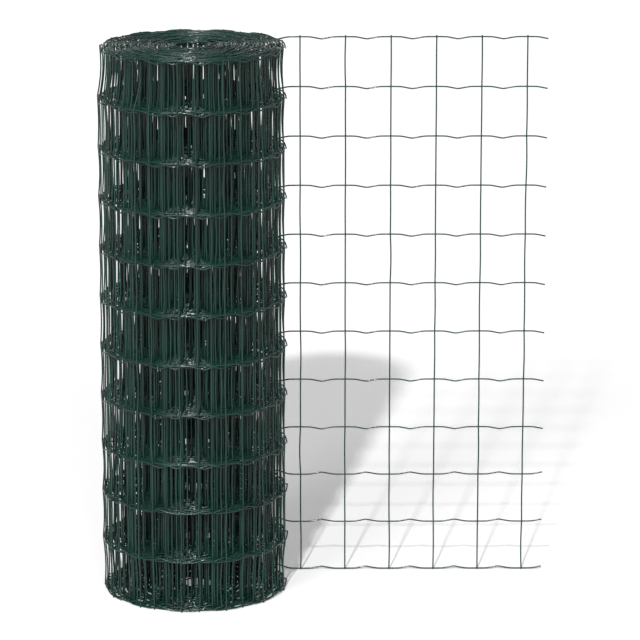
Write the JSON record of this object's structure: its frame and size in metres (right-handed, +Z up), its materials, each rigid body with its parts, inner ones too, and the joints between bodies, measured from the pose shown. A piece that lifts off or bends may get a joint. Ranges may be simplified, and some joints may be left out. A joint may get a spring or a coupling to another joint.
{
  "type": "roll of welded wire fencing",
  "caption": "Roll of green plastic-coated welded wire fence mesh with crimped line wires, standing on end, its free end drawn off flat beside it.",
  "frame": {"origin": "on the roll's axis, at the floor that it stands on", "axes": "+Z up along the roll's axis, +X the way the free end runs, +Y towards the back, where the free end leaves the roll"},
  "size_m": [0.6766, 0.284, 0.84],
  "materials": {
    "green_coated_wire": "semi-gloss dark green plastic coat on steel wire"
  },
  "bodies": {
    "root": {"wire_mesh": "green_coated_wire"}
  },
  "joints": []
}
